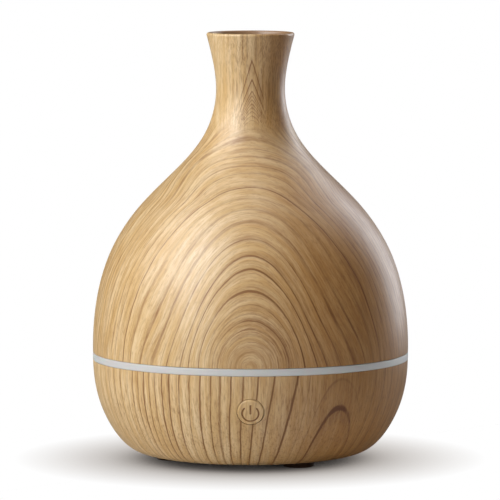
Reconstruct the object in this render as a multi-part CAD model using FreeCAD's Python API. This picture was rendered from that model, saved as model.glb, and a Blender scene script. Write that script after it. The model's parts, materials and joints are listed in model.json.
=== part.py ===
"""Ultrasonic essential oil diffuser: a vase-shaped cover standing on a low round base.

The base holds a water tank with an atomiser disc in its floor, a fan that blows air up a duct
into the tank, the driver board, a ring of lamps under a frosted light ring, and a power button.
The cover lifts straight off, with its mist guide, to fill the tank.

Frame: millimetres, +Z up, origin at the middle of the surface the feet stand on, front at -Y.
"""
import FreeCAD
import Part
import math
import os

from FreeCAD import Placement, Rotation, Vector

# ---- driving dimensions -------------------------------------------------------------------
WALL = 2.0                    # cover wall
BASE_WALL = 2.2               # base shell wall
BODY_R = 75.0                 # largest radius, at the light ring
HEIGHT = 203.0                # feet to mouth
RING_LOW, RING_HIGH = 47.7, 51.1          # the visible band of the light ring
PARTING_GAP = 0.1             # between the cover's foot and the light ring
SHELL_BOTTOM = 3.1            # underside of the base shell
PLATE_R, PLATE_TOP = 45.4, 4.9            # base plate
PLATE_OPENING_R = 41.5        # opening in the base shell's floor
FLOOR_TOP = 6.7               # inside of the base shell's floor

TANK_FLOOR, TANK_FLOOR_UNDER = 24.2, 22.2
TANK_RIM = 76.0
TANK_R_LOW, TANK_R_HIGH = 57.8, 59.3      # outside of the tank wall, low and high
TANK_WALL, TANK_CORNER = 2.0, 3.5         # wall, and the inner rounding at the floor
FLANGE_R, FLANGE_UNDER = 69.3, 49.7       # tank flange that clamps the light ring
LEDGE = 49.1                  # ledge of the light ring, under the flange seal
FULL_MARK = 57.0              # highest water level, marked inside the tank
WELL_R, WELL_FLOOR = 16.5, 20.5           # atomiser well in the tank floor
ATOMISER_HOLE_R = 8.0
HOUSING_R, HOUSING_LOW = 19.0, 15.2       # boss under the well that takes the atomiser

FOOT_R, FOOT_RING_R, FOOT_TOP = 7.25, 37.6, 3.9
FOOT_AZIMUTHS = (37.0, 157.0, 277.0)      # degrees from the front, towards +X
TIE_BOSS_RING_R, TIE_BOSS_R = 25.0, 3.6   # tank bosses that the base screws pull on
CUP_TOP = 8.0                 # top of the base plate's screw cups

FAN_X, FAN_SIDE, FAN_LOW, FAN_HIGH = 37.0, 30.0, 8.0, 18.0
FAN_BORE_R, FAN_HOLE_PITCH = 13.8, 24.0
HUB_R, BLADE_R, BLADES = 6.8, 13.3, 7

BOARD_LOW, BOARD_THICK = 9.0, 1.6         # driver board
BOARD_TOP = BOARD_LOW + BOARD_THICK
BOARD_POSTS = ((-33.0, 30.0), (33.0, 30.0), (-22.0, 48.0), (22.0, 48.0))
LED_BOARD_LOW, LED_BOARD_R = 40.6, (62.0, 70.0)
LED_SCREW_R, LED_SCREW_AZIMUTHS = 66.5, (60.0, 180.0, 300.0)
LED_COUNT = 12

BUTTON_Z, BUTTON_R, BUTTON_GAP = 30.9, 6.2, 0.25
SWITCH_SIDE, POST_X = 6.0, 10.5

JACK_Z, JACK_FACE_Y, JACK_NOSE_R, JACK_BORE_R = 15.4, 61.5, 4.0, 2.9
JACK_PIN_R, JACK_ROOT_R = 1.0, 1.3        # the pin, and its thicker root in the housing
JACK_FLOOR_Y, JACK_ROOT_Y = JACK_FACE_Y - 11.0, JACK_FACE_Y - 13.0

GUIDE_FLANGE_LOW, GUIDE_FLANGE_R = 79.5, 69.4
GUIDE_SCREW_R, GUIDE_SCREW_AZIMUTHS = 64.5, (90.0, 210.0, 330.0)

# Outer outline as (radius, height): a gourd with its widest line at the light ring.
COVER_FOOT = RING_HIGH + PARTING_GAP
EDGE = 0.3                    # rounding of the cover's lower outer edge
COVER_OUTLINE = ((BODY_R, COVER_FOOT + EDGE), (73.3, 75.5), (66.9, 98.0), (52.0, 121.2), (34.4, 139.0),
                 (21.5, 155.4), (16.35, 175.0), (18.1, 190.8), (20.8, HEIGHT - 1.27))
BASE_OUTLINE = ((47.0, SHELL_BOTTOM), (59.26, 7.4), (66.0, 15.4), (71.1, 25.7), (74.1, 37.4),
                (BODY_R - 0.05, RING_LOW))
GUIDE_OUTLINE = ((56.0, 81.5), (51.5, 97.0), (35.0, 113.0), (18.5, 127.0), (14.5, 140.0), (14.5, 150.0))
GUIDE_WALL = 1.5

Z_AXIS = Vector(0, 0, 1)


# ---- helpers ------------------------------------------------------------------------------
def at(radius, height):
    """A point of an outline in the XZ plane."""
    return Vector(radius, 0, height)


def around(radius, azimuth, height=0.0):
    """A point at an azimuth counted from the front (-Y) towards +X."""
    a = math.radians(azimuth)
    return Vector(radius * math.sin(a), -radius * math.cos(a), height)


def smooth(points):
    """A smooth curve through outline points."""
    curve = Part.BSplineCurve()
    curve.interpolate(Points=[at(*p) for p in points])
    return curve


def inset(curve, points, distance):
    """The outline points moved inwards, square to the curve."""
    moved = []
    for p in points:
        along = curve.tangent(curve.parameter(at(*p)))[0]
        moved.append((p[0] - distance * along.z, p[1] + distance * along.x))
    return moved


def lines(points):
    """Straight edges through outline points."""
    return [Part.makeLine(at(*a), at(*b)) for a, b in zip(points, points[1:])]


def revolved(edges):
    """The solid of revolution about Z of a closed outline."""
    return Part.Face(Part.Wire(Part.__sortEdges__(edges))).revolve(Vector(), Z_AXIS, 360)


def turned(points):
    """The solid of revolution of a closed polygon."""
    return revolved(lines(list(points) + [points[0]]))


def rod(radius, low, high, x=0.0, y=0.0):
    """An upright cylinder between two heights."""
    return Part.makeCylinder(radius, high - low, Vector(x, y, low), Z_AXIS)


def tube(outer, inner, low, high, x=0.0, y=0.0):
    """An upright tube between two heights."""
    return rod(outer, low, high, x, y).cut(rod(inner, low - 1, high + 1, x, y))


def block(x, y, z):
    """A box from (low, high) pairs."""
    return Part.makeBox(x[1] - x[0], y[1] - y[0], z[1] - z[0], Vector(x[0], y[0], z[0]))


def rounded_block(x, y, z, radius):
    """A box whose upright edges are rounded."""
    box = block(x, y, z)
    upright = [e for e in box.Edges if abs(e.tangentAt(e.FirstParameter).z) > 0.9]
    return box.makeFillet(radius, upright)


def slot(centre, length, width, low, high):
    """An upright cutter with round ends, long along X."""
    x, y = centre
    half = (length - width) / 2
    body = block((x - half, x + half), (y - width / 2, y + width / 2), (low, high))
    return body.fuse([rod(width / 2, low, high, x + s * half, y) for s in (-1, 1)]).removeSplitter()


def joined(first, *others):
    """One solid out of touching solids."""
    return first.fuse(list(others)).removeSplitter()


def screw(tip, head, direction, shank_r, head_r, head_height, slot_depth=0.6):
    """A cross-slotted pan screw. Its head's underside is at `head`, its shank ends at `tip`, and
    `direction` points from the shank out of the head."""
    length = (head - tip).Length
    shank = Part.makeCylinder(shank_r, length - shank_r, tip + direction * shank_r, direction)
    point = Part.makeCone(shank_r * 0.25, shank_r, shank_r, tip, direction)
    cap = Part.makeCylinder(head_r, head_height, head, direction)
    rims = [e for e in cap.Edges if abs((e.CenterOfMass - head).dot(direction) - head_height) < 1e-6]
    cap = cap.makeFillet(head_height * 0.45, rims)
    body = joined(shank, point, cap)
    turn = Rotation(Z_AXIS, direction)
    for angle in (0, 90):
        bar = Part.makeBox(head_r * 1.2, 0.55, slot_depth + 1, Vector(-head_r * 0.6, -0.275, 0))
        bar.Placement = Placement(head + direction * (head_height - slot_depth),
                                  turn.multiply(Rotation(Z_AXIS, angle)))
        body = body.cut(bar)
    return body


def lead(points, radius):
    """A round lead along straight runs joined by the largest tangent arcs that fit them."""
    points = [Vector(*p) for p in points]
    edges, last = [], points[0]
    for before, here, after in zip(points, points[1:], points[2:]):
        back, forth = before - here, after - here
        turn = math.pi - back.getAngle(forth)
        trim = 0.45 * min(back.Length, forth.Length)
        back.normalize()
        forth.normalize()
        start, end = here + back * trim, here + forth * trim
        bend = trim / math.tan(turn / 2)
        middle = (back + forth).normalize()
        centre = here + middle * math.hypot(trim, bend)
        edges.append(Part.makeLine(last, start))
        edges.append(Part.Arc(start, centre - middle * bend, end).toShape())
        last = end
    edges.append(Part.makeLine(last, points[-1]))
    section = Part.Wire(Part.makeCircle(radius, points[0], points[1] - points[0]))
    return Part.Wire(edges).makePipeShell([section], True, True)


# ---- outlines shared by several pieces ----------------------------------------------------
COVER_CURVE = smooth(COVER_OUTLINE)
BASE_CURVE = smooth(BASE_OUTLINE)


def button_frame():
    """Where the power button sits: local +Z leaves the base square to its skin, +Y runs up it."""
    section = BASE_CURVE.toShape().section(Part.makeLine(at(0, BUTTON_Z), at(200, BUTTON_Z)))
    on_skin = section.Vertexes[0].Point
    along = BASE_CURVE.tangent(BASE_CURVE.parameter(on_skin))[0]
    lean = math.degrees(math.atan2(along.x, along.z))
    return Placement(Vector(0, -on_skin.x, BUTTON_Z), Rotation(Vector(1, 0, 0), 90 + lean))


BUTTON_FRAME = button_frame()
BUTTON_TRAVEL = BUTTON_FRAME.Rotation.multVec(Z_AXIS * -1)


def on_button(shape):
    """A shape made in the button's local frame, put in its place on the base."""
    placed = shape.copy()
    placed.Placement = BUTTON_FRAME.multiply(placed.Placement)
    return placed


# ---- cover --------------------------------------------------------------------------------
def cover_shell():
    """The vase: thin wall with a round lip, a foot that locates in the light ring, screw bosses."""
    inner_points = inset(COVER_CURVE, COVER_OUTLINE[1:], WALL)
    start = (BODY_R - WALL - 0.2, 57.0)
    inner = smooth([start] + inner_points)
    outer_end, inner_end = COVER_OUTLINE[-1], inner_points[-1]
    middle = ((outer_end[0] + inner_end[0]) / 2, (outer_end[1] + inner_end[1]) / 2)
    across = (outer_end[0] - middle[0], outer_end[1] - middle[1])
    lip_top = at(middle[0] - across[1], middle[1] + across[0])
    corner = math.sqrt(0.5)
    edges = [COVER_CURVE.toShape(), inner.toShape(),
             Part.Arc(at(*outer_end), lip_top, at(*inner_end)).toShape(),
             Part.Arc(at(BODY_R - EDGE, COVER_FOOT),
                      at(BODY_R - EDGE + EDGE * corner, COVER_FOOT + EDGE - EDGE * corner),
                      at(BODY_R, COVER_FOOT + EDGE)).toShape()]
    lip_r, lip_low = (70.0, 71.4), RING_HIGH - 1.5
    edges += lines([start, (lip_r[0], 54.0), (lip_r[0], lip_low), (lip_r[1], lip_low),
                    (lip_r[1], COVER_FOOT), (BODY_R - EDGE, COVER_FOOT)])
    shell = revolved(edges)
    boss_low = GUIDE_FLANGE_LOW + 2.0
    closing = lines([(BODY_R, COVER_FOOT + EDGE), (0, COVER_FOOT + EDGE), (0, HEIGHT - 1.27),
                     COVER_OUTLINE[-1]])
    filled = revolved([COVER_CURVE.toShape()] + closing)
    for azimuth in GUIDE_SCREW_AZIMUTHS:
        p = around(GUIDE_SCREW_R, azimuth)
        boss = rod(3.2, boss_low, 104.0, p.x, p.y).common(filled)
        shell = shell.fuse(boss)
    shell = shell.removeSplitter()
    for azimuth in GUIDE_SCREW_AZIMUTHS:
        p = around(GUIDE_SCREW_R, azimuth)
        shell = shell.cut(rod(1.3, boss_low - 1, boss_low + 7.5, p.x, p.y))
    return shell


def mist_guide():
    """A bell inside the cover: its skirt dips into the tank, its chimney leads up to the neck."""
    outer = smooth(GUIDE_OUTLINE)
    inner_points = inset(outer, GUIDE_OUTLINE, GUIDE_WALL)
    inner = smooth(inner_points)
    flange_top, skirt_low = GUIDE_FLANGE_LOW + 2.0, TANK_RIM - 6.0
    edges = [outer.toShape(), inner.toShape()]
    edges += lines([GUIDE_OUTLINE[-1], inner_points[-1]])
    edges += lines([GUIDE_OUTLINE[0], (GUIDE_FLANGE_R, flange_top), (GUIDE_FLANGE_R, GUIDE_FLANGE_LOW),
                    (56.0, GUIDE_FLANGE_LOW), (56.0, skirt_low + 1.0), (55.3, skirt_low),
                    (inner_points[0][0], skirt_low), inner_points[0]])
    guide = revolved(edges)
    for azimuth in GUIDE_SCREW_AZIMUTHS:
        p = around(GUIDE_SCREW_R, azimuth)
        guide = guide.cut(rod(1.6, GUIDE_FLANGE_LOW - 1, flange_top + 1, p.x, p.y))
    return guide


def guide_screws():
    """Three screws that hold the mist guide up against the cover's bosses."""
    made = []
    for azimuth in GUIDE_SCREW_AZIMUTHS:
        tip = around(GUIDE_SCREW_R, azimuth, GUIDE_FLANGE_LOW + 8.5)
        head = around(GUIDE_SCREW_R, azimuth, GUIDE_FLANGE_LOW)
        made.append(screw(tip, head, Z_AXIS * -1, 1.25, 2.6, 1.7))
    return Part.makeCompound(made)


# ---- base casing --------------------------------------------------------------------------
def base_filled():
    """The base's outer form as one solid, for trimming what is added to its wall."""
    top = BASE_OUTLINE[-1]
    return revolved([BASE_CURVE.toShape()] + lines([top, (0, top[1]), (0, SHELL_BOTTOM), BASE_OUTLINE[0]]))


def base_shell():
    """The bowl of the base, with the button's opening, board posts, lamp ribs and inlet pocket."""
    inner_points = [(50.0, FLOOR_TOP)] + inset(BASE_CURVE, BASE_OUTLINE[1:-1], BASE_WALL)
    inner_points.append((BODY_R - 2.3, RING_LOW))
    inner = smooth(inner_points)
    edges = [BASE_CURVE.toShape(), inner.toShape()]
    edges += lines([BASE_OUTLINE[-1], inner_points[-1]])
    edges += lines([BASE_OUTLINE[0], (PLATE_R + 0.3, SHELL_BOTTOM), (PLATE_R + 0.3, PLATE_TOP),
                    (PLATE_OPENING_R, PLATE_TOP), (PLATE_OPENING_R, FLOOR_TOP), inner_points[0]])
    shell = revolved(edges)
    filled = base_filled()
    cavity = filled.cut(shell)
    added = []
    for x, y in BOARD_POSTS:
        added.append(rod(2.4, FLOOR_TOP - 1.0, BOARD_LOW, x, y))
    for azimuth in LED_SCREW_AZIMUTHS:
        p = around(LED_SCREW_R, azimuth)
        added.append(rod(2.6, 29.0, LED_BOARD_LOW, p.x, p.y))
        web = block((LED_SCREW_R, 76.0), (-0.9, 0.9), (29.0, LED_BOARD_LOW))
        added.append(web.rotate(Vector(), Z_AXIS, azimuth - 90))
    for azimuth in (30.0, 90.0, 120.0, 240.0, 270.0, 330.0):
        rib = block((66.0, 76.0), (-0.8, 0.8), (LED_BOARD_LOW - 7.0, LED_BOARD_LOW))
        added.append(rib.rotate(Vector(), Z_AXIS, azimuth - 90))
    inlet = Part.makeCylinder(8.6, 20, Vector(0, JACK_FACE_Y - 3.2, JACK_Z), Vector(0, 1, 0))
    added.append(inlet)
    post = Part.makeCylinder(2.0, 10.0, Vector(0, 0, -10.0), Z_AXIS)
    for side in (-1, 1):
        placed = post.copy()
        placed.translate(Vector(side * POST_X, 0, 0))
        added.append(on_button(placed))
    shell = shell.fuse([piece.common(filled) for piece in added]).removeSplitter()
    cutters = [on_button(Part.makeCylinder(BUTTON_R + BUTTON_GAP, 12, Vector(0, 0, -6), Z_AXIS)),
               Part.makeCylinder(6.3, 20, Vector(0, JACK_FACE_Y, JACK_Z), Vector(0, 1, 0)),
               Part.makeCylinder(JACK_NOSE_R + 0.1, 20, Vector(0, JACK_FACE_Y - 10, JACK_Z), Vector(0, 1, 0))]
    for side in (-1, 1):
        cutters.append(on_button(Part.makeCylinder(0.9, 6.0, Vector(side * POST_X, 0, -10.5), Z_AXIS)))
    for azimuth in LED_SCREW_AZIMUTHS:
        p = around(LED_SCREW_R, azimuth)
        cutters.append(rod(1.05, LED_BOARD_LOW - 7.0, LED_BOARD_LOW + 1, p.x, p.y))
    for x, y in BOARD_POSTS:
        cutters.append(rod(1.05, FLOOR_TOP - 1.2, BOARD_LOW + 1, x, y))
    return shell.cut(cutters)


def base_plate():
    """The round underside, with foot recesses, screw cups and two groups of air slots."""
    plate = turned([(0, SHELL_BOTTOM), (PLATE_R - 0.4, SHELL_BOTTOM), (PLATE_R, SHELL_BOTTOM + 0.4),
                    (PLATE_R, PLATE_TOP), (0, PLATE_TOP)])
    spigot = tube(PLATE_OPENING_R - 0.2, PLATE_OPENING_R - 1.7, PLATE_TOP, FLOOR_TOP - 0.2)
    plate = plate.fuse(spigot)
    for azimuth in FOOT_AZIMUTHS:
        p = around(TIE_BOSS_RING_R, azimuth)
        plate = plate.fuse(rod(5.0, PLATE_TOP - 0.5, CUP_TOP, p.x, p.y))
    plate = plate.removeSplitter()
    cutters = []
    for azimuth in FOOT_AZIMUTHS:
        foot, tie = around(FOOT_RING_R, azimuth), around(TIE_BOSS_RING_R, azimuth)
        cutters.append(rod(FOOT_R + 0.05, SHELL_BOTTOM - 1, FOOT_TOP, foot.x, foot.y))
        cutters.append(rod(3.5, SHELL_BOTTOM - 1, CUP_TOP - 1.8, tie.x, tie.y))
        cutters.append(rod(1.7, SHELL_BOTTOM - 1, CUP_TOP + 1, tie.x, tie.y))
    for row in range(-3, 4):
        length = 18.0 - 1.6 * abs(row)
        cutters.append(slot((30.5 - 0.4 * abs(row), row * 3.6), length, 1.9, 0, 10))
    for row in (-1, 0, 1):
        cutters.append(slot((-6.0, 33.0 + row * 3.6), 13.0, 1.9, 0, 10))
        cutters.append(slot((-10.0, -31.0 + row * 3.6), 13.0, 1.9, 0, 10))
    return plate.cut(cutters)


def base_screws():
    """Three long screws that tie the base plate to the tank and clamp the casing together."""
    made = []
    for azimuth in FOOT_AZIMUTHS:
        tip = around(TIE_BOSS_RING_R, azimuth, 18.0)
        head = around(TIE_BOSS_RING_R, azimuth, CUP_TOP - 1.8)
        made.append(screw(tip, head, Z_AXIS * -1, 1.35, 2.9, 1.9))
    return Part.makeCompound(made)


def foot(azimuth):
    """One round foot pad, bonded into its recess."""
    p = around(FOOT_RING_R, azimuth)
    pad = rod(FOOT_R, 0, FOOT_TOP, p.x, p.y)
    rim = [e for e in pad.Edges if e.CenterOfMass.z < 0.1 and e.Curve.TypeId == "Part::GeomCircle"]
    return pad.makeFillet(0.7, rim)


def light_ring():
    """The frosted band between cover and base, with a spigot that faces the lamps."""
    bevel = 0.25
    return turned([(72.5, RING_LOW), (BODY_R - bevel, RING_LOW), (BODY_R, RING_LOW + bevel),
                   (BODY_R, RING_HIGH - bevel), (BODY_R - bevel, RING_HIGH), (71.8, RING_HIGH),
                   (71.8, LEDGE), (66.0, LEDGE), (66.0, 47.0), (69.5, 47.0), (69.5, 44.7), (72.5, 44.7)])


# ---- tank and atomiser --------------------------------------------------------------------
def water_tank():
    """The tank: floor with the atomiser well, clamping flange, fan collar and tie bosses."""
    corner_out, corner_in = TANK_CORNER + 1.5, TANK_CORNER
    high_in = TANK_R_HIGH - TANK_WALL
    low_in = TANK_R_LOW - TANK_WALL
    arc = math.sqrt(0.5)
    out_c = (TANK_R_LOW - corner_out, TANK_FLOOR_UNDER + corner_out)
    in_c = (low_in - corner_in, TANK_FLOOR + corner_in)
    rim = Part.Arc(at(TANK_R_HIGH, TANK_RIM - 1), at(TANK_R_HIGH - 1, TANK_RIM), at(high_in, TANK_RIM - 1))
    edges = [rim.toShape(),
             Part.Arc(at(TANK_R_LOW, out_c[1]),
                      at(out_c[0] + corner_out * arc, out_c[1] - corner_out * arc),
                      at(out_c[0], TANK_FLOOR_UNDER)).toShape(),
             Part.Arc(at(low_in, in_c[1]), at(in_c[0] + corner_in * arc, in_c[1] - corner_in * arc),
                      at(in_c[0], TANK_FLOOR)).toShape()]
    edges += lines([(TANK_R_HIGH, TANK_RIM - 1), (TANK_R_HIGH, RING_HIGH), (FLANGE_R, RING_HIGH),
                    (FLANGE_R, FLANGE_UNDER), (TANK_R_HIGH - 0.6, FLANGE_UNDER), (TANK_R_LOW, out_c[1])])
    edges += lines([(out_c[0], TANK_FLOOR_UNDER), (HOUSING_R, TANK_FLOOR_UNDER), (HOUSING_R, HOUSING_LOW),
                    (12.6, HOUSING_LOW), (12.6, WELL_FLOOR - 2.0), (ATOMISER_HOLE_R, WELL_FLOOR - 2.0),
                    (ATOMISER_HOLE_R, WELL_FLOOR), (WELL_R - 1.5, WELL_FLOOR), (WELL_R, WELL_FLOOR + 1.5),
                    (WELL_R, TANK_FLOOR - 0.6), (WELL_R + 0.6, TANK_FLOOR), (in_c[0], TANK_FLOOR)])
    edges += lines([(low_in, in_c[1]), (high_in, TANK_RIM - 1)])
    tank = revolved(edges)
    added = [tube(15.0, FAN_BORE_R, FAN_HIGH + 0.8, TANK_FLOOR_UNDER + 0.5, FAN_X, 0)]
    for sx in (-1, 1):
        for sy in (-1, 1):
            x, y = FAN_X + sx * FAN_HOLE_PITCH / 2, sy * FAN_HOLE_PITCH / 2
            added.append(rod(2.6, FAN_HIGH, TANK_FLOOR_UNDER + 0.5, x, y))
    for azimuth in FOOT_AZIMUTHS:
        p = around(TIE_BOSS_RING_R, azimuth)
        added.append(rod(TIE_BOSS_R, CUP_TOP, TANK_FLOOR_UNDER + 0.5, p.x, p.y))
    for azimuth in (30.0, 150.0, 210.0):
        mark = tube(low_in + 1.5, low_in + 0.4, FULL_MARK, FULL_MARK + 0.8)
        sector = block((0, 70), (-7, 7), (50, 60)).rotate(Vector(), Z_AXIS, azimuth - 90)
        added.append(mark.common(sector))
    tank = tank.fuse(added).removeSplitter()
    cutters = [rod(12.0, 15.0, 30.0, FAN_X, 0)]
    for sx in (-1, 1):
        for sy in (-1, 1):
            x, y = FAN_X + sx * FAN_HOLE_PITCH / 2, sy * FAN_HOLE_PITCH / 2
            cutters.append(rod(1.05, FAN_HIGH - 1, FAN_HIGH + 4.0, x, y))
    for azimuth in FOOT_AZIMUTHS:
        p = around(TIE_BOSS_RING_R, azimuth)
        cutters.append(rod(1.4, CUP_TOP - 1, 19.0, p.x, p.y))
    for k in range(3):
        p = around(15.8, 60.0 + 120.0 * k)
        cutters.append(rod(0.95, HOUSING_LOW - 1, HOUSING_LOW + 4.5, p.x, p.y))
    return tank.cut(cutters)


def air_duct():
    """The snorkel over the fan's outlet: it opens above the highest water level, facing inwards."""
    def wedge(skin):
        points = [(23.0 + skin, TANK_FLOOR), (23.0 + skin, 33.0 + skin * 0.4), (37.0 + skin, 57.0),
                  (37.0 + skin, 68.5 - skin), (57.0 - skin, 68.5 - skin), (57.0 - skin, TANK_FLOOR)]
        face = Part.Face(Part.Wire(lines(points + [points[0]])))
        half = 14.2 - skin
        solid = face.extrude(Vector(0, 2 * half, 0))
        solid.translate(Vector(0, -half, 0))
        return solid
    outer = wedge(0.0).common(tank_inside(0.3))
    outer = outer.makeFillet(1.6, [e for e in outer.Edges if edge_is_front_of_duct(e)])
    inner = wedge(1.8).common(tank_inside(2.1))
    duct = outer.cut(inner)
    for row in (-1, 0, 1):
        duct = duct.cut(rounded_window(row * 8.2, 6.2, (60.0, 66.2)))
    return duct


def tank_inside(gap):
    """The water space, drawn in from the tank's wall by a gap."""
    space = rod(TANK_R_LOW - TANK_WALL - gap, TANK_FLOOR, TANK_RIM)
    floor_edge = [e for e in space.Edges if e.BoundBox.ZMax < TANK_FLOOR + 0.1]
    return space.makeFillet(TANK_CORNER, floor_edge)


def edge_is_front_of_duct(edge):
    """The duct's two long edges on the side that faces the tank's middle."""
    box = edge.BoundBox
    return box.YLength < 0.01 and box.XMax < 37.2 and box.ZLength > 5.0


def rounded_window(y, width, heights):
    """A cutter along X for one outlet window of the duct."""
    return block((34.0, 40.0), (y - width / 2, y + width / 2), heights)


def flange_seal():
    """The flat silicone seal between the tank's flange and the light ring's ledge."""
    return tube(69.0, 66.4, LEDGE, FLANGE_UNDER)


def atomiser_disc():
    """The piezo disc that turns water into mist, with its domed contact underneath."""
    disc = rod(10.0, 16.2, 17.4)
    contact = rod(3.0, 15.9, 16.3)
    return joined(disc, contact)


def atomiser_seal():
    """The silicone ring that grips the disc's edge."""
    return turned([(8.2, 17.4), (8.2, 18.5), (12.5, 18.5), (12.5, 15.2), (8.8, 15.2), (8.8, 16.2),
                   (10.0, 16.2), (10.0, 17.4)])


def atomiser_clamp():
    """The metal ring that presses seal and disc up into the tank's housing."""
    ring = tube(18.4, 7.2, HOUSING_LOW - 1.5, HOUSING_LOW)
    holes = [around(15.8, 60.0 + 120.0 * k) for k in range(3)]
    return ring.cut([rod(1.15, 10, 20, p.x, p.y) for p in holes])


def atomiser_screws():
    """Three small screws through the clamp into the housing."""
    made = []
    for k in range(3):
        tip = around(15.8, 60.0 + 120.0 * k, HOUSING_LOW + 4.0)
        head = around(15.8, 60.0 + 120.0 * k, HOUSING_LOW - 1.5)
        made.append(screw(tip, head, Z_AXIS * -1, 0.9, 1.8, 1.2, 0.5))
    return Part.makeCompound(made)


# ---- fan ----------------------------------------------------------------------------------
def fan_frame():
    """The square frame of the axial fan, with three struts that carry its motor cup."""
    half = FAN_SIDE / 2
    frame = rounded_block((FAN_X - half, FAN_X + half), (-half, half), (FAN_LOW, FAN_HIGH), 2.0)
    frame = frame.cut(rod(FAN_BORE_R, FAN_LOW - 1, FAN_HIGH + 1, FAN_X, 0))
    cup = rod(HUB_R + 0.4, FAN_HIGH - 1.6, FAN_HIGH, FAN_X, 0)
    post = tube(2.0, 1.05, FAN_LOW + 2.5, FAN_HIGH - 1.5, FAN_X, 0)
    struts = []
    for k in range(3):
        bar = block((0, FAN_BORE_R + 0.5), (-0.9, 0.9), (FAN_HIGH - 1.6, FAN_HIGH))
        bar.rotate(Vector(), Z_AXIS, 30 + 120 * k)
        bar.translate(Vector(FAN_X, 0, 0))
        struts.append(bar)
    frame = frame.fuse([cup, post] + struts).removeSplitter()
    holes = []
    for sx in (-1, 1):
        for sy in (-1, 1):
            x, y = FAN_X + sx * FAN_HOLE_PITCH / 2, sy * FAN_HOLE_PITCH / 2
            holes.append(rod(1.55, FAN_LOW - 1, FAN_HIGH + 1, x, y))
    return frame.cut(holes)


def fan_rotor():
    """Hub, shaft and seven pitched blades, turning about the fan's axis."""
    low, high = FAN_LOW + 0.6, FAN_HIGH - 2.2
    hub = rod(HUB_R, low, high).cut(rod(HUB_R - 1.2, low + 1.2, high + 1))
    shaft = rod(1.0, low + 1.0, high - 0.3)
    blade_low, blade_high = low + 0.6, high - 0.3
    rotor = hub.fuse(shaft)
    blades = []
    for k in range(BLADES):
        blade = block((HUB_R - 0.6, BLADE_R), (-0.45, 0.45), (-4.4, 4.4))
        blade.rotate(Vector(), Vector(1, 0, 0), 42)
        blade.translate(Vector(0, 0, (blade_low + blade_high) / 2))
        blade.rotate(Vector(), Z_AXIS, 360.0 * k / BLADES)
        blades.append(blade.common(tube(BLADE_R, HUB_R - 0.5, blade_low, blade_high)))
    rotor = rotor.fuse(blades).removeSplitter()
    rotor.translate(Vector(FAN_X, 0, 0))
    return rotor


def fan_screws():
    """Four screws that hang the fan under the tank."""
    made = []
    for sx in (-1, 1):
        for sy in (-1, 1):
            x, y = FAN_X + sx * FAN_HOLE_PITCH / 2, sy * FAN_HOLE_PITCH / 2
            made.append(screw(Vector(x, y, FAN_HIGH + 3.4), Vector(x, y, FAN_LOW), Z_AXIS * -1,
                              1.0, 1.75, 0.8, 0.4))
    return Part.makeCompound(made)


def duct_seal():
    """The foam ring between fan frame and tank collar."""
    return tube(14.3, FAN_BORE_R, FAN_HIGH, FAN_HIGH + 0.8, FAN_X, 0)


# ---- electronics --------------------------------------------------------------------------
def driver_board():
    """The main circuit board at the back, with clearance for a tie boss."""
    board = block((-37, 37), (18.5, 55), (BOARD_LOW, BOARD_TOP)).common(rod(55.0, 0, 30))
    holes = [rod(1.2, 0, 30, x, y) for x, y in BOARD_POSTS]
    tie = around(TIE_BOSS_RING_R, FOOT_AZIMUTHS[1])
    holes.append(rod(TIE_BOSS_R + 1.6, 0, 30, tie.x, tie.y))
    return board.cut(holes)


def board_screws():
    """Four screws that hold the driver board on its posts."""
    made = []
    for x, y in BOARD_POSTS:
        made.append(screw(Vector(x, y, FLOOR_TOP - 0.6), Vector(x, y, BOARD_TOP), Z_AXIS, 1.0, 2.1, 1.4))
    return Part.makeCompound(made)


def inductors():
    """Two drum-core inductors: waisted ferrite with the winding between its flanges."""
    made = []
    for x, y, r in ((-12.5, 37.0, 4.6), (-25.0, 39.0, 4.2)):
        drum = turned([(0, BOARD_TOP), (r, BOARD_TOP), (r, BOARD_TOP + 1.3), (r - 0.7, BOARD_TOP + 1.5),
                       (r - 0.7, BOARD_TOP + 6.7), (r, BOARD_TOP + 6.9), (r, BOARD_TOP + 8.2),
                       (0, BOARD_TOP + 8.2)])
        drum.translate(Vector(x, y, 0))
        made.append(drum)
    return Part.makeCompound(made)


def capacitors():
    """Three electrolytic capacitors standing on the board."""
    made = []
    for x, y in ((14.5, 36.0), (22.5, 36.5), (14.5, 44.5)):
        can = rod(3.15, BOARD_TOP, BOARD_TOP + 9.0, x, y)
        rims = [e for e in can.Edges if e.Curve.TypeId == "Part::GeomCircle"]
        made.append(can.makeFillet(0.5, rims))
    return Part.makeCompound(made)


def heat_sink():
    """The finned aluminium block behind the power transistor."""
    body = block((-18.5, -8.0), (47.2, 49.0), (BOARD_TOP, BOARD_TOP + 9.5))
    fins = []
    for k in range(5):
        x = -18.5 + 0.6 + k * 2.3
        fins.append(block((x, x + 1.0), (49.0, 51.6), (BOARD_TOP, BOARD_TOP + 9.5)))
    return joined(body, *fins).common(rod(54.0, 0, 40))


def power_transistor():
    """The transistor that drives the atomiser, standing against the heat sink on three legs."""
    body = block((-17.8, -8.6), (43.0, 47.2), (BOARD_TOP + 2.0, BOARD_TOP + 9.0))
    legs = []
    for k in (-1, 0, 1):
        x = -13.2 + 2.54 * k
        legs.append(block((x - 0.35, x + 0.35), (44.8, 45.4), (BOARD_TOP, BOARD_TOP + 2.0)))
    return joined(body, *legs)


def controller_chip():
    """The small controller with seven legs a side."""
    x, y = -2.0, 26.5
    body = block((x - 4.3, x + 4.3), (y - 1.95, y + 1.95), (BOARD_TOP + 0.15, BOARD_TOP + 1.6))
    legs = []
    for k in range(7):
        lx = x + (k - 3) * 1.2
        for side in (-1, 1):
            ys = sorted((y + side * 1.9, y + side * 2.9))
            legs.append(block((lx - 0.2, lx + 0.2), ys, (BOARD_TOP, BOARD_TOP + 0.35)))
    return joined(body, *legs)


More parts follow.
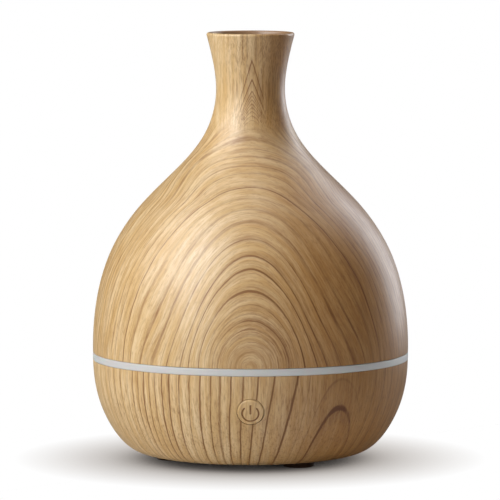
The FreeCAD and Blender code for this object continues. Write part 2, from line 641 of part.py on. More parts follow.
# Where each lead plugs in: name, place on the board, and the turn of its mouth from -Y.
CONNECTORS = (("atomiser", -13.0, 22.5, 0), ("button", -29.5, 24.0, -90), ("fan", 22.0, 22.0, 90),
              ("lamps", -33.0, 38.0, -90))
LEAD_R, LEAD_Z = 1.0, BOARD_TOP + 2.3     # two-core leads, and the height of the connectors' mouths


def board_connectors():
    """Four white side-entry sockets where the leads plug in."""
    made = []
    for _, x, y, turn in CONNECTORS:
        shell = block((-3.0, 3.0), (-2.5, 2.5), (BOARD_TOP, BOARD_TOP + 4.6))
        shell = shell.cut(block((-2.3, 2.3), (-3.5, 1.5), (LEAD_Z - 1.5, LEAD_Z + 1.5)))
        shell.Placement = Placement(Vector(x, y, 0), Rotation(Z_AXIS, turn))
        made.append(shell)
    return Part.makeCompound(made)


def power_inlet():
    """The moulded housing of the low-voltage inlet, with its round nose through the casing."""
    low = BOARD_TOP
    body = block((-4.5, 4.5), (44.5, JACK_FACE_Y - 4.0), (low, JACK_Z + 4.6))
    nose = Part.makeCylinder(JACK_NOSE_R, 4.2, Vector(0, JACK_FACE_Y - 4.2, JACK_Z), Vector(0, 1, 0))
    bore = Part.makeCylinder(JACK_BORE_R, 30, Vector(0, JACK_FLOOR_Y, JACK_Z), Vector(0, 1, 0))
    root_hole = Part.makeCylinder(JACK_ROOT_R, 5, Vector(0, JACK_ROOT_Y, JACK_Z), Vector(0, 1, 0))
    return joined(body, nose).cut([bore, root_hole])


def inlet_pin():
    """The inlet's centre contact: a slim pin on a thicker root that is held by the housing."""
    length = 10.0
    pin = Part.makeCylinder(JACK_PIN_R, length, Vector(0, JACK_FLOOR_Y, JACK_Z), Vector(0, 1, 0))
    tip = [e for e in pin.Edges if abs(e.CenterOfMass.y - JACK_FLOOR_Y - length) < 1e-6]
    root = Part.makeCylinder(JACK_ROOT_R, JACK_FLOOR_Y - JACK_ROOT_Y, Vector(0, JACK_ROOT_Y, JACK_Z),
                             Vector(0, 1, 0))
    return joined(pin.makeFillet(0.4, tip), root)


def led_board():
    """The ring-shaped board under the light ring's spigot."""
    low, high = LED_BOARD_LOW, LED_BOARD_LOW + 1.2
    board = tube(LED_BOARD_R[1], LED_BOARD_R[0], low, high)
    holes = [around(LED_SCREW_R, a) for a in LED_SCREW_AZIMUTHS]
    return board.cut([rod(1.3, 30, 50, p.x, p.y) for p in holes])


def leds():
    """Twelve surface-mounted lamps spread round the board, facing up."""
    made = []
    top = LED_BOARD_LOW + 1.2
    for k in range(LED_COUNT):
        lamp = block((66.4, 69.6), (-1.6, 1.6), (top, top + 1.5))
        window = block((66.9, 69.1), (-1.1, 1.1), (top + 1.1, top + 2))
        made.append(lamp.cut(window).rotate(Vector(), Z_AXIS, 360.0 * (k + 0.5) / LED_COUNT))
    return Part.makeCompound(made)


def led_screws():
    """Three screws that hold the lamp board on the base shell's ribs."""
    made = []
    for azimuth in LED_SCREW_AZIMUTHS:
        tip = around(LED_SCREW_R, azimuth, LED_BOARD_LOW - 5.5)
        head = around(LED_SCREW_R, azimuth, LED_BOARD_LOW + 1.2)
        made.append(screw(tip, head, Z_AXIS, 1.0, 2.0, 1.3))
    return Part.makeCompound(made)


# ---- power button -------------------------------------------------------------------------
def power_button():
    """The domed cap with the engraved standby sign, its retaining flange and its stem."""
    edge, crown = 0.25, 0.65
    rise = crown - edge
    dome_r = (BUTTON_R ** 2 + rise ** 2) / (2 * rise)
    ball = Part.makeSphere(dome_r, Vector(0, 0, crown - dome_r))
    cap = Part.makeCylinder(BUTTON_R, 4.5 + crown + 1, Vector(0, 0, -4.5), Z_AXIS).common(ball)
    rim = [e for e in cap.Edges if abs(e.BoundBox.ZMax - edge) < 0.05 and e.BoundBox.ZLength < 0.05]
    cap = cap.makeFillet(0.35, rim)
    flange = Part.makeCylinder(7.0, 1.0, Vector(0, 0, -5.0), Z_AXIS)
    stem = Part.makeCylinder(2.0, 0.9, Vector(0, 0, -5.4), Z_AXIS)
    button = joined(cap, flange, stem)
    sign_y, sign_r, stroke, depth, gap = -0.5, 3.8, 0.8, 0.4, 50.0
    floor = crown - 0.15 - depth
    ring = Part.makeCylinder(sign_r + stroke / 2, 3, Vector(0, sign_y, floor), Z_AXIS)
    ring = ring.cut(Part.makeCylinder(sign_r - stroke / 2, 3, Vector(0, sign_y, floor), Z_AXIS))
    reach = 8.0
    spread = reach * math.tan(math.radians(gap))
    wedge = Part.makePolygon([Vector(0, sign_y, floor), Vector(spread, sign_y + reach, floor),
                              Vector(-spread, sign_y + reach, floor), Vector(0, sign_y, floor)])
    ring = ring.cut(Part.Face(wedge).extrude(Vector(0, 0, 4)))
    bar = Part.makeBox(stroke, sign_r + stroke / 2, 3, Vector(-stroke / 2, sign_y, floor))
    return on_button(button.cut([ring, bar]))


def switch_plunger():
    """The tactile switch's moving button, which the cap's stem pushes."""
    return on_button(Part.makeCylinder(1.75, 1.9, Vector(0, 0, -7.3), Z_AXIS))


def tact_switch():
    """The tactile switch body, with its four legs folded onto the board."""
    half = SWITCH_SIDE / 2
    body = Part.makeBox(SWITCH_SIDE, SWITCH_SIDE, 3.6, Vector(-half, -half, -10.0))
    body = body.cut(Part.makeCylinder(1.85, 3, Vector(0, 0, -8.0), Z_AXIS))
    legs = []
    for sx in (-1, 1):
        for sy in (-1, 1):
            x = half if sx > 0 else -half - 1.0
            legs.append(Part.makeBox(1.0, 0.7, 0.4, Vector(x, sy * 2.2 - 0.35, -10.0)))
    return on_button(joined(body, *legs))


def button_board():
    """The small board that carries the switch behind the button."""
    board = Part.makeBox(27, 10, 1.6, Vector(-13.5, -5, -11.6))
    holes = [Part.makeCylinder(1.1, 4, Vector(s * POST_X, 0, -13), Z_AXIS) for s in (-1, 1)]
    return on_button(board.cut(holes))


def button_board_screws():
    """Two screws that hold the button board on its posts."""
    made = []
    for side in (-1, 1):
        x = side * POST_X
        made.append(on_button(screw(Vector(x, 0, -5.0), Vector(x, 0, -11.6), Z_AXIS * -1, 0.85, 1.7, 1.1, 0.5)))
    return Part.makeCompound(made)


# ---- leads inside the base ----------------------------------------------------------------
def plugged(name):
    """Where a lead ends, inside its connector's mouth."""
    x, y, turn = next(row[1:] for row in CONNECTORS if row[0] == name)
    inwards = Rotation(Z_AXIS, turn).multVec(Vector(0, 0.5, 0))
    return x + inwards.x, y + inwards.y, LEAD_Z


def button_lead():
    """From the button board's end, round the left side under the tank, to the driver board."""
    start = BUTTON_FRAME.multVec(Vector(-13.5, 0, -10.8))
    return lead([(start.x, start.y, start.z), (start.x - 6.0, start.y, start.z), (-27.0, -57.5, 27.0),
                 (-33.0, -52.5, 20.0), (-40.5, -44.0, 15.3), (-49.0, -33.0, 14.5), (-54.5, -19.0, 14.7),
                 (-55.5, -3.5, 15.2), (-52.0, 10.0, 15.5), (-45.0, 19.5, 14.8), (-37.0, 24.0, LEAD_Z),
                 plugged("button")], LEAD_R)


def fan_lead():
    """From the fan frame's side to the driver board."""
    return lead([(31.0, 15.0, LEAD_Z), (31.0, 19.0, LEAD_Z), (28.0, 22.0, LEAD_Z), plugged("fan")], LEAD_R)


def atomiser_lead():
    """From the disc, out under the clamp, to the driver board."""
    return lead([(0.0, 5.1, 16.2), (0.0, 5.1, 12.6), (-2.5, 9.0, 11.3), (-7.0, 13.8, 11.2),
                 (-13.0, 18.0, LEAD_Z), plugged("atomiser")], LEAD_R)


def lamp_lead():
    """From the lamp board down the back of the casing to the driver board."""
    return lead([(-46.0, 44.5, LED_BOARD_LOW), (-46.0, 44.5, 35.0), (-44.3, 42.8, 29.0),
                 (-42.6, 41.0, 23.0), (-41.6, 39.0, 17.0), (-39.5, 38.0, LEAD_Z), plugged("lamps")], LEAD_R)


# ---- write every node ---------------------------------------------------------------------
NODES = {
    "cover_shell": cover_shell, "mist_guide": mist_guide, "guide_screws": guide_screws,
    "base_shell": base_shell, "base_plate": base_plate, "base_screws": base_screws,
    "light_ring": light_ring, "water_tank": water_tank, "air_duct": air_duct, "flange_seal": flange_seal,
    "atomiser_disc": atomiser_disc, "atomiser_seal": atomiser_seal, "atomiser_clamp": atomiser_clamp,
    "atomiser_screws": atomiser_screws, "fan_frame": fan_frame, "fan_rotor": fan_rotor,
    "fan_screws": fan_screws, "duct_seal": duct_seal, "driver_board": driver_board,
    "board_screws": board_screws, "inductors": inductors, "capacitors": capacitors,
    "heat_sink": heat_sink, "power_transistor": power_transistor, "controller_chip": controller_chip,
    "board_connectors": board_connectors, "power_inlet": power_inlet, "inlet_pin": inlet_pin,
    "led_board": led_board, "leds": leds, "led_screws": led_screws, "power_button": power_button,
    "switch_plunger": switch_plunger, "tact_switch": tact_switch, "button_board": button_board,
    "button_board_screws": button_board_screws, "button_lead": button_lead, "fan_lead": fan_lead,
    "atomiser_lead": atomiser_lead, "lamp_lead": lamp_lead,
}
for number, azimuth in enumerate(FOOT_AZIMUTHS, 1):
    NODES[f"foot_{number}"] = lambda azimuth=azimuth: foot(azimuth)


def main():
    os.makedirs("parts", exist_ok=True)
    for name, make in NODES.items():
        shape = make()
        shape.exportStep(f"parts/{name}.step")
        print(f"{name}: {len(shape.Solids)} solid(s), {shape.Volume / 1000:.2f} ml, valid {shape.isValid()}")
    print(f"button travels along {tuple(round(c, 4) for c in BUTTON_TRAVEL)}")


main()
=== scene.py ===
# %% [markdown]
# # A wood-print oil diffuser
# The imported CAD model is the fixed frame: every casing part, screw and board already has its
# place and its size. This lesson gives each of them a finish, remakes two pieces that are seen
# close up (the power button and the frosted light ring), and lights the object for a portrait.

# %% Load the frame
import json
import math

import bmesh
import bpy
import numpy as np
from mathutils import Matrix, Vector


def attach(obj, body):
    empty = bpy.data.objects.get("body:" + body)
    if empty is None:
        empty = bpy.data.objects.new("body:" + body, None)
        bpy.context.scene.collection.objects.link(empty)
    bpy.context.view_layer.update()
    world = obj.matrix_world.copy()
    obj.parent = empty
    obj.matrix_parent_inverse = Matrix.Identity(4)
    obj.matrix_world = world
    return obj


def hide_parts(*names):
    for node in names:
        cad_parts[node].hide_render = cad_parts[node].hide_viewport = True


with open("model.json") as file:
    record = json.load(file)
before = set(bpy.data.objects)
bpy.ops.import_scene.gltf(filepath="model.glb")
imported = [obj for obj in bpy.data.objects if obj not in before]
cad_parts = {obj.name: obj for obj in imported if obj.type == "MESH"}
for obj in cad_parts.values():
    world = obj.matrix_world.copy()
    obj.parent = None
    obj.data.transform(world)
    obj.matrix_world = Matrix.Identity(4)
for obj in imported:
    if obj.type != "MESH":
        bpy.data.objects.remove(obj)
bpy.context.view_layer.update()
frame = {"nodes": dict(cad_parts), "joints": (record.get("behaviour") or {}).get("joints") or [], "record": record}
nodes = frame["nodes"]
slot_of = {row["node"]: row["material_slot"] for row in frame["record"]["subparts"]}
MM = 0.001

# %% [markdown]
# ## Writing patterns as formulas
# A shader pattern is a sum in disguise, but a node tree hides it. The small class below lets
# Python's own signs add Math nodes, so `depth = across - place` in this file is also a node in
# the material. `x, y, z` come from Object coordinates, turned into millimetres: the pieces sit
# at the origin, so these are places on the real object, and the pattern stays put when the
# cover is lifted.

# %% A value in a node tree
class Value:
    """A socket that can be added, scaled and compared like a number."""

    def __init__(self, tree, socket):
        self.tree, self.socket = tree, socket

    def do(self, operation, *others):
        node = self.tree.nodes.new("ShaderNodeMath")
        node.operation = operation
        for socket, value in zip(node.inputs, (self, *others)):
            feed(self.tree, socket, value)
        return Value(self.tree, node.outputs[0])

    def __add__(self, other):
        return self.do("ADD", other)

    def __sub__(self, other):
        return self.do("SUBTRACT", other)

    def __mul__(self, other):
        return self.do("MULTIPLY", other)

    def __truediv__(self, other):
        return self.do("DIVIDE", other)

    def size(self):
        """The value without its sign."""
        return self.do("ABSOLUTE")


def feed(tree, socket, value):
    """Gives a socket a constant, or links it to a value."""
    if isinstance(value, Value):
        tree.links.new(value.socket, socket)
    elif isinstance(value, bpy.types.NodeSocket):
        tree.links.new(value, socket)
    elif socket.type == "RGBA" and len(value) == 3:
        socket.default_value = (*value, 1.0)
    else:
        socket.default_value = value


def put(tree, kind, inputs=(), **settings):
    """Adds a node, sets its options, then feeds its inputs by name or number."""
    node = tree.nodes.new(kind)
    for name, value in settings.items():
        setattr(node, name, value)
    for name, value in dict(inputs).items():
        feed(tree, node.inputs[name], value)
    return node


def fade(value, low, high, low_gives=0.0, high_gives=1.0):
    """A soft step: low_gives up to low, high_gives from high on, and an S-curve in between."""
    node = put(value.tree, "ShaderNodeMapRange", {0: value, 1: low, 2: high, 3: low_gives, 4: high_gives},
               interpolation_type="SMOOTHSTEP")
    return Value(value.tree, node.outputs[0])


def noise(vector, scale=1.0, detail=2.0, roughness=0.5):
    """Cloudy noise from 0 to 1, with features about 1 / scale wide."""
    node = put(vector.tree, "ShaderNodeTexNoise",
               {"Vector": vector, "Scale": scale, "Detail": detail, "Roughness": roughness})
    return Value(vector.tree, node.outputs["Fac"])


def vector(x, y, z):
    """Three values as one vector."""
    tree = next(v.tree for v in (x, y, z) if isinstance(v, Value))
    return Value(tree, put(tree, "ShaderNodeCombineXYZ", {0: x, 1: y, 2: z}).outputs[0])


def blend(factor, first, second):
    """Colour first where factor is 0, and second where it is 1."""
    node = factor.tree.nodes.new("ShaderNodeMix")
    node.data_type = "RGBA"
    for number, value in ((0, factor), (6, first), (7, second)):
        feed(factor.tree, node.inputs[number], value)
    return Value(factor.tree, node.outputs[2])


def place_of(tree):
    """Object coordinates in millimetres, as x, y and z."""
    here = put(tree, "ShaderNodeTexCoord")
    scaled = put(tree, "ShaderNodeVectorMath", {0: here.outputs["Object"], 3: 1.0 / MM}, operation="SCALE")
    parts = put(tree, "ShaderNodeSeparateXYZ", {0: scaled.outputs[0]})
    return [Value(tree, socket) for socket in parts.outputs]


# %% [markdown]
# ## Node groups for shared effects
# A plank's growth line, its fibres and the fine skin of moulded plastic turn up in more than
# one finish. Each is built once as a node group with named inputs and outputs, and every
# material places it with its own numbers. The groups put out masks and heights only, and the
# Principled BSDF stays in the material.

# %% Making and placing a group
def make_group(name, inputs, outputs, build):
    """A shader node group. build(tree, inputs) returns the values that leave by the outputs."""
    tree = bpy.data.node_groups.new(name, "ShaderNodeTree")
    for label in inputs:
        kind = "NodeSocketVector" if label == "Vector" else "NodeSocketFloat"
        tree.interface.new_socket(label, in_out="INPUT", socket_type=kind)
    for label in outputs:
        tree.interface.new_socket(label, in_out="OUTPUT", socket_type="NodeSocketFloat")
    entry = tree.nodes.new("NodeGroupInput")
    leave = tree.nodes.new("NodeGroupOutput")
    made = build(tree, [Value(tree, entry.outputs[label]) for label in inputs])
    for label, value in zip(outputs, made):
        feed(tree, leave.inputs[label], value)
    return tree


def use(group, tree, **inputs):
    """Places a group in a material and returns its outputs. A name's _ stands for a space."""
    node = put(tree, "ShaderNodeGroup", node_tree=group)
    for name, value in inputs.items():
        feed(tree, node.inputs[name.replace("_", " ")], value)
    return [Value(tree, socket) for socket in node.outputs]


# %% The groups
def build_line(tree, inputs):
    """One growth line: a thin dark core, and a soft band on the side where the wood grew before."""
    across, place, width, strength = inputs
    off = across - place
    core = fade(off.size() / width, 0.15, 1.0, 1.0, 0.0)
    skirt = fade((off + width * 1.2).size() / (width * 3.0), 0.0, 1.0, 0.22, 0.0)
    return [core.do("MAXIMUM", skirt) * strength]


def build_fibres(tree, inputs):
    """Streaks that run along the grain: long soft ones for the tone, and short sharp ones for
    the pores. The vector is (mm across, and two places along), and the places are squeezed."""
    where, length = inputs
    parts = put(tree, "ShaderNodeSeparateXYZ", {0: where})
    across, along, also = [Value(tree, socket) for socket in parts.outputs]
    along, also = along / length, also / length
    broad = noise(vector(across * 0.3, along * 0.4, also * 0.4), 1.0, 3.0, 0.6)
    fine = noise(vector(across * 0.9, along, also), 1.0, 3.0, 0.75)
    pores = fade(noise(vector(across * 1.4, along * 3.0, also * 3.0), 1.0, 2.0, 0.6), 0.55, 0.66)
    return [broad, fine, pores]


def build_skin(tree, inputs):
    """The skin of a moulding: a slow change of shade from flow in the mould, and a fine grain."""
    where, grain, flow = inputs
    cloud = noise(where, 0.05, 3.0, 0.6)
    pits = Value(tree, put(tree, "ShaderNodeTexNoise", {"Vector": where, "Scale": grain, "Detail": 2.0}).outputs[0])
    return [(cloud - 0.5) * flow + 0.5, pits]


def build_brushing(tree, inputs):
    """Marks of a tool on metal: noise squeezed so that it runs round the vertical axis."""
    where, fineness = inputs
    parts = put(tree, "ShaderNodeSeparateXYZ", {0: where})
    x, y, z = [Value(tree, socket) for socket in parts.outputs]
    return [noise(vector((x + y) * 0.35, z * 4.0, (x - y) * 0.35), fineness, 3.0, 0.65)]


LINE = make_group("growth_line", ("Across", "Place", "Width", "Strength"), ("Dark",), build_line)
FIBRES = make_group("wood_fibres", ("Vector", "Length"), ("Tone", "Fine", "Pores"), build_fibres)
SKIN = make_group("moulded_skin", ("Vector", "Grain", "Flow"), ("Shade", "Pits"), build_skin)
BRUSHING = make_group("tool_marks", ("Vector", "Fineness"), ("Marks",), build_brushing)
print("groups:", [g.name for g in bpy.data.node_groups])


# %% [markdown]
# ## The wood print
# The casing is plastic with a printed film of one plank. On the cover the growth lines are
# where flat layers of a trunk meet the round surface: a layer is a constant depth from the
# front, so the lines are arches round the middle of the front, packed tightly there and nearly
# upright at the sides. One number, `across`, says how deep a point lies, and each line is a
# place on that number. The front's lines lie at measured places, the back mirrors them
# with its own noise. A single satin coat lies over the print.

# %% Starting a material
def new_material(name):
    """A material with a Principled BSDF. Returns it, its tree, its shader and the place in mm."""
    material = bpy.data.materials.new(name)
    material.use_nodes = True
    tree = material.node_tree
    return material, tree, tree.nodes["Principled BSDF"], place_of(tree)


def set_shader(shader, **constants):
    """Constants set on the shader's own sockets."""
    for name, value in constants.items():
        feed(shader.id_data, shader.inputs[name.replace("_", " ")], value)


def emboss(tree, shader, height, strength, distance_mm):
    """A slight relief from a height between 0 and 1."""
    bump = put(tree, "ShaderNodeBump", {"Height": height, "Strength": strength, "Distance": distance_mm * MM})
    feed(tree, shader.inputs["Normal"], bump.outputs[0])


def add_lines(tree, across, rows):
    """The sum of growth lines. A row is (place, half width, strength), in mm."""
    total = None
    for place, width, strength in rows:
        dark = use(LINE, tree, Across=across, Place=place, Width=width, Strength=strength)[0]
        total = dark if total is None else total.do("MAXIMUM", dark)
    return total


# Colours of the print, from the palest early wood to the darkest line.
PALE, TAN, AMBER, DARK = (0.74, 0.55, 0.305), (0.65, 0.435, 0.19), (0.52, 0.285, 0.075), (0.23, 0.085, 0.009)
# The colour towards the right: a deeper heartwood tone, and painted shade of the side away from the light.
HEARTWOOD_AND_SHADE = (0.58, 0.405, 0.215)


def print_colour(dark, tone, fine, pores, x):
    """Early wood between pale and tan by its fibres, an amber cast in patches, and dark lines on
    top. From the left of the plank to its right the colour turns deeper and redder: partly
    heartwood, and partly painted shade on the right, away from the light on the left."""
    early = blend(fade(tone, 0.35, 0.65), PALE, TAN)
    early = blend(fade(fine, 0.40, 0.66, 0.0, 0.45), early, AMBER)
    early = blend(pores * 0.22, early, DARK)
    wood = blend((dark * fade(fine, 0.3, 0.6, 0.7, 1.2)).do("MINIMUM", 0.92), early, DARK)
    # painted shade together with the heartwood tone: the colour is multiplied down from x = -22 mm to 48 mm
    deeper = put(x.tree, "ShaderNodeMix", {0: fade(x, -22.0, 48.0), 6: wood, 7: HEARTWOOD_AND_SHADE},
                 data_type="RGBA", blend_type="MULTIPLY")
    return Value(x.tree, deeper.outputs[2])


def finish_print(tree, shader, colour, dark, fine):
    """The satin surface of the printed film."""
    feed(tree, shader.inputs["Base Color"], colour)
    feed(tree, shader.inputs["Roughness"], fade(fine, 0.2, 0.8, 0.36, 0.46))
    set_shader(shader, Specular_IOR_Level=0.95)
    emboss(tree, shader, fine - dark * 0.5, 0.08, 0.05)


# %% The cover's print
COVER_LINES = ((22.1, 1.5, 0.35), (25.3, 0.4, 0.35), (28.0, 0.6, 0.4), (31.8, 0.45, 0.55), (35.0, 0.4, 0.5),
               (38.2, 0.4, 0.25), (41.0, 0.42, 0.9), (45.6, 0.5, 0.3), (50.5, 0.6, 0.5), (55.0, 0.9, 0.5),
               (60.2, 0.35, 0.7), (64.8, 0.38, 0.9), (67.5, 0.32, 1.0), (70.8, 0.27, 0.9), (72.3, 0.09, 0.4),
               (73.1, 0.06, 0.35), (73.7, 0.1, 0.65), (74.4, 0.05, 0.4))
NECK_TIPS = ((190.2, 1.4, 1.0), (181.3, 1.1, 1.0), (175.9, 0.6, 0.9), (173.8, 0.4, 0.8), (172.0, 0.4, 0.75),
             (170.1, 0.4, 0.7), (168.3, 0.4, 0.65), (166.5, 0.4, 0.6), (164.5, 0.4, 0.55), (162.5, 0.4, 0.4))
NECK_UPRIGHTS = ((-3.6, 0.35, 0.7), (-1.6, 0.3, 0.6), (2.6, 0.4, 0.7), (5.6, 0.3, 0.5))
NECK_FROM, NECK_TO = 154.0, 164.0


def make_cover_print():
    material, tree, shader, (x, y, z) = new_material("wood_print_cover")
    depth = y.size()
    drift = noise(vector(x * 0.02, y * 0.05, z * 0.03), 1.0, 2.0)
    across = depth - x * x * 0.001 + (drift - 0.5) * fade(depth, 58.0, 73.0, 2.2, 0.15)
    # the trunk swells upwards, so the arches are narrower high up than a flat cut would give
    right = fade(x, -6.0, 6.0)
    swell = fade(x.size(), 0.0, 62.0, 0.0, 1730.0) * (z - right * 17.5 - 28.5)
    swell = swell * (right * 0.00007 + 0.00013)
    across = across - swell * fade(across, 46.0, 64.0, 0.4, 1.0) * fade(across, 67.0, 73.5, 1.0, 0.0)
    across = across + fade(z, 50.0, 78.0, 1.2, 0.0)
    # on the shoulder, below the neck, the layers lie flatter
    across = across + fade(x.size(), 0.0, 50.0, 0.0, 17.0) * fade(z, 124.0, 146.0)
    # the same depth told in mm up the front, where the layers are cut at a flat angle
    rise = ((across * -1.0 + 76.3).do("MAXIMUM", 0.0) * 215.0).do("SQRT")
    lines = add_lines(tree, across, COVER_LINES)
    # between the placed lines: faint even rings at the sides, and hair-fine rings at the front
    ripple = (across * (2.0 * math.pi / 3.1) + drift * 9.0).do("SINE")
    sides = fade(ripple, 0.3, 1.0) * fade(across, 17.0, 24.0, 0.42, 0.0)
    hairs = fade((rise * (2.0 * math.pi / 1.5) + drift * 6.0).do("SINE"), -0.2, 1.0)
    broken = noise(vector(x * 0.12, z * 0.12, rise * 0.3), 1.0, 3.0, 0.7)
    hairs = (hairs * fade(across, 71.5, 73.5, 0.12, 0.4) * fade(across, 74.8, 75.8, 1.0, 0.3)
             * fade(broken, 0.35, 0.65))
    grain = noise(vector(rise * 0.8, x * 0.03, z * 0.03), 1.0, 4.0, 0.7)
    body_dark = (lines.do("MAXIMUM", sides).do("MAXIMUM", hairs) + fade(grain, 0.42, 0.72, 0.0, 0.35)
                 + fade(across, 70.0, 75.5, 0.0, 0.2))
    # on the neck the lines are tall pointed arches round the middle of the front
    aside = (x - 0.7).size()
    run_down = aside.do("POWER", 1.15)
    steep = fade(z + run_down * 1.6, 162.0, 192.0, 0.4, 3.0)
    arches = add_lines(tree, z + run_down * steep, NECK_TIPS) * fade(aside, 4.2, 7.0, 1.0, 0.0)
    streaks = noise(vector(x * 1.8, y * 1.8, z * 0.03), 1.0, 2.0, 0.6)
    beside = fade(streaks, 0.45, 0.62, 0.0, 0.45) * fade(aside, 1.0, 5.0, 0.5, 1.0) * fade(x, -14.0, -2.0, 0.4, 1.0)
    upright = add_lines(tree, x, NECK_UPRIGHTS) * fade(z, 186.0, 194.0)
    neck_dark = arches.do("MAXIMUM", upright) * fade(y, -2.0, 2.0, 1.0, 0.15) + beside
    up_neck = fade(z, NECK_FROM, NECK_TO)
    dark = body_dark + (neck_dark - body_dark) * up_neck
    patch = noise(vector(x * 0.05, y * 0.05, z * 0.02), 1.0, 2.0)
    dark = dark * fade(patch, 0.3, 0.6, 0.75, 1.0)
    on_body = use(FIBRES, tree, Vector=vector(rise, z, x), Length=10.0)
    on_neck = use(FIBRES, tree, Vector=vector(x * 1.3, z, y), Length=14.0)
    tone, fine, pores = [low + (high - low) * up_neck for low, high in zip(on_body, on_neck)]
    # On the neck the painted shade of the right side, with its heartwood tone, comes on over a narrower width,
    # since the thin neck turns from the light sooner.
    colour = print_colour(dark, tone, fine, pores, x * (up_neck * 1.7 + 1.0))
    # inside, the bare plastic shows: there the surface faces the axis
    facing = put(tree, "ShaderNodeSeparateXYZ", {0: put(tree, "ShaderNodeTexCoord").outputs["Normal"]})
    inward = Value(tree, facing.outputs[0]) * x + Value(tree, facing.outputs[1]) * y
    colour = blend(fade(inward, -4.0, 0.5), (0.30, 0.165, 0.075), colour)
    finish_print(tree, shader, colour, dark, fine)
    return material


# %% [markdown]
# The base wears another cut of the same plank. Its lines run down the wall, lean a little, and
# on the right they close into one tall arch. The distance along the wall is the angle from the
# front times the radius, so `along_wall` counts millimetres on the surface. The button has the
# same material: the film runs on over it.

# %% The base's print
WALL_R = 73.0
# place on the wall at the top, place at the bottom, half width, strength
BASE_LINES = (
    (-84.0, -84.0, 0.5, 0.3), (-79.7, -80.5, 0.5, 0.42), (-74.5, -75.5, 0.5, 0.42), (-69.4, -70.5, 0.5, 0.42),
    (-64.1, -65.5, 0.5, 0.35), (-60.3, -62.5, 0.6, 0.45), (-56.8, -58.5, 0.5, 0.5), (-53.1, -55.0, 0.6, 0.7),
    (-49.7, -51.5, 0.5, 0.5), (-46.2, -48.0, 0.5, 0.5), (-42.4, -44.0, 0.6, 0.7), (-38.5, -40.5, 0.6, 0.8),
    (-33.4, -35.5, 0.6, 0.6), (-28.3, -30.5, 0.5, 0.5), (-23.3, -25.0, 0.7, 0.8), (-18.3, -20.0, 0.6, 0.7),
    (-14.1, -15.5, 1.1, 0.6), (-8.9, -11.0, 0.6, 0.9), (-3.4, -5.5, 0.6, 0.85), (3.4, -0.5, 0.6, 0.85),
    (10.6, 5.4, 0.65, 0.9), (21.3, 14.4, 0.9, 0.9), (27.5, 22.0, 0.4, 0.3), (66.0, 62.0, 0.5, 0.4),
    (73.0, 69.0, 0.6, 0.5), (80.0, 77.0, 0.5, 0.45), (87.0, 84.0, 0.5, 0.4), (94.0, 92.0, 0.5, 0.4),
)
ARCHES = ((14.0, 0.75, 1.0), (9.0, 0.4, 0.2), (18.5, 0.4, 0.3))
LINES_TOP, LINES_TALL = 45.0, 37.0


def make_base_print(name, pressed=False):
    """The base's print. A pressed piece shows a quiet part of the plank, and is darker where its
    attribute "pressed" says so."""
    material, tree, shader, (x, y, z) = new_material(name)
    drift = noise(vector(x * 0.03, y * 0.03, z * 0.06), 1.0, 2.0)
    along_wall = x.do("ARCTAN2", y.size()) * WALL_R + (drift - 0.5) * 1.3
    down = (z * -1.0 + LINES_TOP) / LINES_TALL
    total = None
    for top, bottom, width, strength in BASE_LINES:
        across = along_wall - down * (bottom - top)
        dark = use(LINE, tree, Across=across, Place=top, Width=width, Strength=strength)[0]
        total = dark if total is None else total.do("MAXIMUM", dark)
    # the closed arch: ovals three times as tall as wide
    from_leg, from_foot = along_wall - 44.0, (z + 10.6) / 3.0
    arch = (from_leg * from_leg + from_foot * from_foot).do("SQRT")
    total = total.do("MAXIMUM", add_lines(tree, arch, ARCHES) * fade(along_wall, 22.0, 26.0) * fade(along_wall, 40.0, 54.0, 1.0, 0.4)
                       * fade(y, -6.0, 2.0, 1.0, 0.0))
    streak = noise(vector(x * 1.3, y * 1.3, z * 0.02), 1.0, 3.0, 0.62)
    dark = total * fade(drift, 0.3, 0.6, 0.95, 1.2) + fade(streak, 0.45, 0.75, 0.0, 0.4)
    if pressed:
        mark = put(tree, "ShaderNodeAttribute", attribute_name="pressed")
        dark = (dark * 0.3).do("MAXIMUM", Value(tree, mark.outputs["Fac"]) * 0.85)
    tone, fine, pores = use(FIBRES, tree, Vector=vector(along_wall, z, y), Length=16.0)
    # The print's colour deepens towards the right: heartwood tone, and painted shade away from the light.
    finish_print(tree, shader, print_colour(dark, tone, fine, pores, x), dark, fine)
    return material


finish = {"wood_cover": make_cover_print(), "wood_base": make_base_print("wood_print_base"),
          "wood_button": make_base_print("wood_print_button", pressed=True)}
print("wood print: ", len(COVER_LINES) + len(NECK_TIPS), "lines on the cover,",
      len(BASE_LINES) + len(ARCHES), "on the base")


# %% [markdown]
# ## Moulded plastics, rubber and silicone
# Most of the inside is moulded. Such a surface is never quite even: the melt leaves slow clouds
# of shade, and the tool's spark texture breaks the gloss into fine pits. One function makes
# them all, and the numbers say how coarse and how glossy each one is.

# %% One function for what is moulded
def moulded(name, colour, rough, grain=3.0, depth=0.04, flow=0.5, deeper=0.75, **constants):
    """A moulded finish: shade clouds between the colour and a deeper one, pits in gloss and relief."""
    material, tree, shader, (x, y, z) = new_material(name)
    shade, pits = use(SKIN, tree, Vector=vector(x, y, z), Grain=grain, Flow=flow)
    dim = tuple(c * deeper for c in colour)
    feed(tree, shader.inputs["Base Color"], blend(fade(shade, 0.25, 0.75), dim, colour))
    feed(tree, shader.inputs["Roughness"], fade(pits, 0.2, 0.8, rough * 0.85, min(1.0, rough * 1.15)))
    set_shader(shader, **constants)
    emboss(tree, shader, pits, 0.35, depth)
    return material


